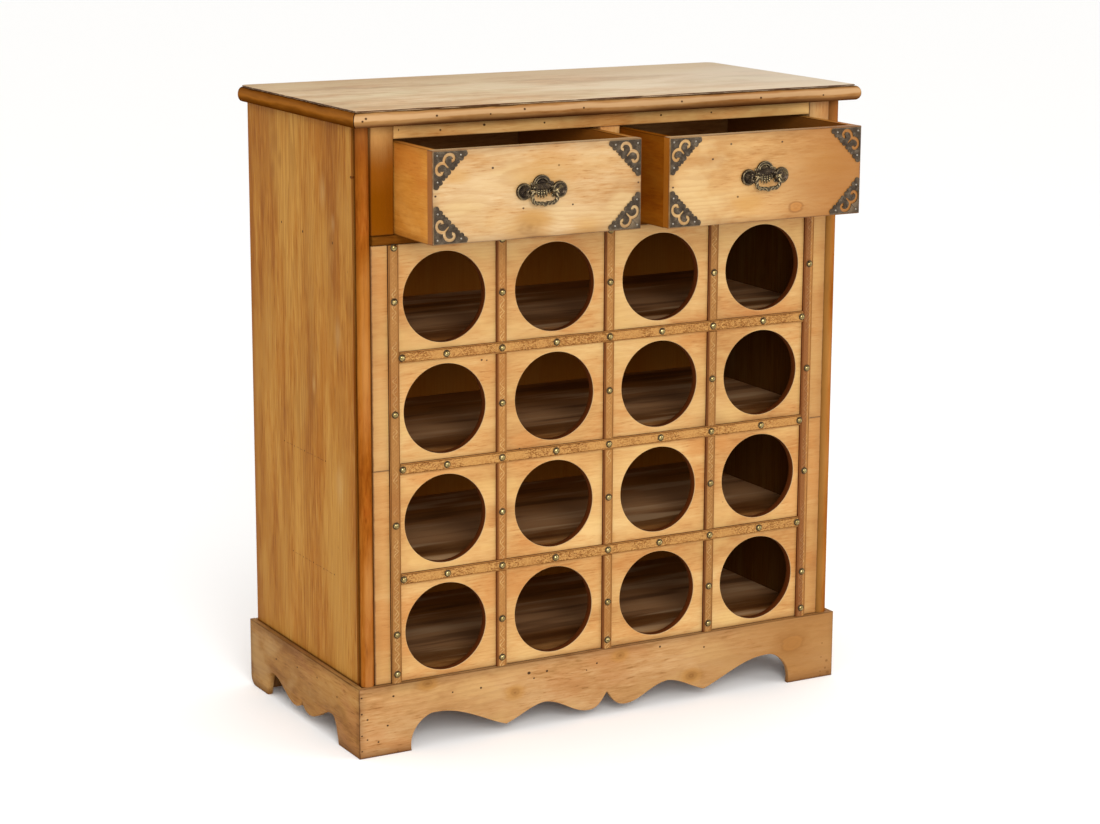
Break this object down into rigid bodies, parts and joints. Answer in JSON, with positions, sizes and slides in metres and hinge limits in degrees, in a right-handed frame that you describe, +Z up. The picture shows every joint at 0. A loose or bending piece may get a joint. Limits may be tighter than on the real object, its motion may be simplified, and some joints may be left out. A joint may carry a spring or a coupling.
{
  "type": "wine cabinet",
  "caption": "Low pine wine cabinet: a pierced front of round bottle holes under a pair of drawers with bail pulls, on a shaped bracket plinth.",
  "frame": {"origin": "on the floor, at the middle of the whole outline seen from above, with the drawers open as pictured", "axes": "+Z up, -Y out of the front with the bottle holes and drawers, +X to the right seen from the front"},
  "size_m": [0.7212, 0.4636, 0.8],
  "materials": {
    "top_pine": "waxed pine, paler and greyer on the flat top, dark brown on the moulded edge",
    "carcass_pine": "stained and varnished pine, satin, with knots",
    "bead_pine": "dark orange stained pine round, satin",
    "front_pine": "light honey pine, satin varnish",
    "drawer_pine": "plain pine, matt",
    "inside_pine": "dark brown unfinished pine, matt",
    "strap_moulding": "embossed wooden moulding, brown stain with lighter ridges",
    "stud_brass": "antique brass domed nail head, darkened at the rim",
    "iron_plate": "blackened pressed plate, satin",
    "pull_bronze": "dark antique bronze casting, bright on worn ridges"
  },
  "bodies": {
    "cabinet": {"top_board": "top_pine", "side_panel_left": "carcass_pine", "side_panel_right": "carcass_pine", "back_panel": "carcass_pine", "corner_bead_left": "bead_pine", "corner_bead_right": "bead_pine", "front_stile_left": "front_pine", "front_stile_right": "front_pine", "top_rail": "front_pine", "drawer_divider": "front_pine", "drawer_rail": "front_pine", "drawer_deck": "inside_pine", "drawer_guide_left": "inside_pine", "drawer_guide_middle": "inside_pine", "drawer_guide_right": "inside_pine", "drawer_kicker": "inside_pine", "bottle_shelf_1": "inside_pine", "bottle_shelf_2": "inside_pine", "bottle_shelf_3": "inside_pine", "bottle_shelf_4": "inside_pine", "bottle_front_lower": "front_pine", "bottle_front_upper": "front_pine", "strap_vertical_1": "strap_moulding", "strap_vertical_2": "strap_moulding", "strap_vertical_3": "strap_moulding", "strap_vertical_4": "strap_moulding", "strap_vertical_5": "strap_moulding", "strap_horizontal_1": "strap_moulding", "strap_horizontal_2": "strap_moulding", "strap_horizontal_3": "strap_moulding", "apron_front": "carcass_pine", "apron_left": "carcass_pine", "apron_right": "carcass_pine", "plinth_back_rail": "carcass_pine", "foot_block_front_left": "inside_pine", "foot_block_front_right": "inside_pine", "foot_block_rear_left": "inside_pine", "foot_block_rear_right": "inside_pine"},
    "drawer_left": {"drawer_left_front": "front_pine", "drawer_left_left_side": "drawer_pine", "drawer_left_right_side": "drawer_pine", "drawer_left_back": "drawer_pine", "drawer_left_bottom": "drawer_pine", "corner_plate_left_top_left": "iron_plate", "corner_plate_left_top_right": "iron_plate", "corner_plate_left_bottom_left": "iron_plate", "corner_plate_left_bottom_right": "iron_plate", "pull_backplate_left": "pull_bronze"},
    "drawer_right": {"drawer_right_front": "front_pine", "drawer_right_left_side": "drawer_pine", "drawer_right_right_side": "drawer_pine", "drawer_right_back": "drawer_pine", "drawer_right_bottom": "drawer_pine", "corner_plate_right_top_left": "iron_plate", "corner_plate_right_top_right": "iron_plate", "corner_plate_right_bottom_left": "iron_plate", "corner_plate_right_bottom_right": "iron_plate", "pull_backplate_right": "pull_bronze"},
    "bail_left": {"pull_bail_left": "pull_bronze"},
    "bail_right": {"pull_bail_right": "pull_bronze"}
  },
  "joints": [
    {"name": "drawer_left_slide", "type": "slide", "parent": "cabinet", "child": "drawer_left", "axis": [0, -1, 0], "range_m": [-0.101, 0.109]},
    {"name": "drawer_right_slide", "type": "slide", "parent": "cabinet", "child": "drawer_right", "axis": [0, -1, 0], "range_m": [-0.116, 0.094]},
    {"name": "bail_left_swing", "type": "hinge", "parent": "drawer_left", "child": "bail_left", "pos_m": [-0.1523, -0.21435, 0.70495], "axis": [-1, 0, 0], "range_deg": [-15, 115]},
    {"name": "bail_right_swing", "type": "hinge", "parent": "drawer_right", "child": "bail_right", "pos_m": [0.1523, -0.22935, 0.70495], "axis": [-1, 0, 0], "range_deg": [-15, 115]}
  ]
}
